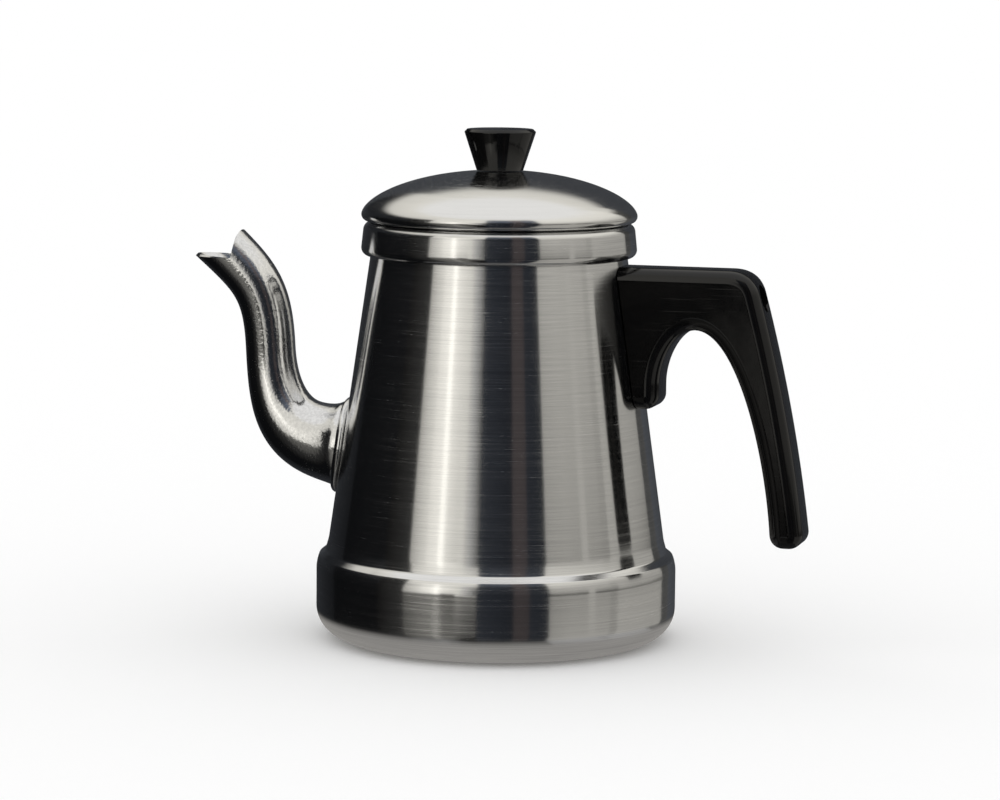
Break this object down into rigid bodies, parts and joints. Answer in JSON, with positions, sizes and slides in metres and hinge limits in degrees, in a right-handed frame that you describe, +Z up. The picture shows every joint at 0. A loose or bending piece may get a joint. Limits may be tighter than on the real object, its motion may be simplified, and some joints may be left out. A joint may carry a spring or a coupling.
{
  "type": "coffee pot",
  "caption": "Stove-top aluminium coffee pot with a conical wall, drum foot, S-shaped spout, moulded black handle and a domed lift-off lid.",
  "frame": {"origin": "middle of the flat base, on the pot's axis", "axes": "+Z up along the pot's axis, +X towards the handle, the spout towards -X"},
  "size_m": [0.2657, 0.15, 0.2114],
  "materials": {
    "spun_aluminium": "fine lathe-brushed rings",
    "lid_aluminium": "polished, with fine rub marks",
    "cast_aluminium": "cast and tumbled, slightly rough",
    "rivet_aluminium": "plain",
    "bakelite": "glossy moulded black",
    "steel": "plated",
    "brass": "turned"
  },
  "bodies": {
    "pot": {"body_shell": "spun_aluminium", "spout": "cast_aluminium", "spout_lock_ring": "cast_aluminium", "spout_strainer": "spun_aluminium", "handle": "bakelite", "handle_bracket": "cast_aluminium", "handle_screw": "steel", "handle_washer": "steel", "handle_rivet_1": "rivet_aluminium", "handle_rivet_2": "rivet_aluminium", "handle_rivet_3": "rivet_aluminium", "handle_rivet_4": "rivet_aluminium"},
    "lid": {"lid_dome": "lid_aluminium", "lid_skirt": "lid_aluminium", "knob": "bakelite", "knob_insert": "brass", "knob_screw": "steel", "knob_washer": "steel"}
  },
  "joints": [
    {"name": "lid_lift", "type": "slide", "parent": "pot", "child": "lid", "axis": [0, 0, 1], "range_m": [0, 0.06]}
  ]
}
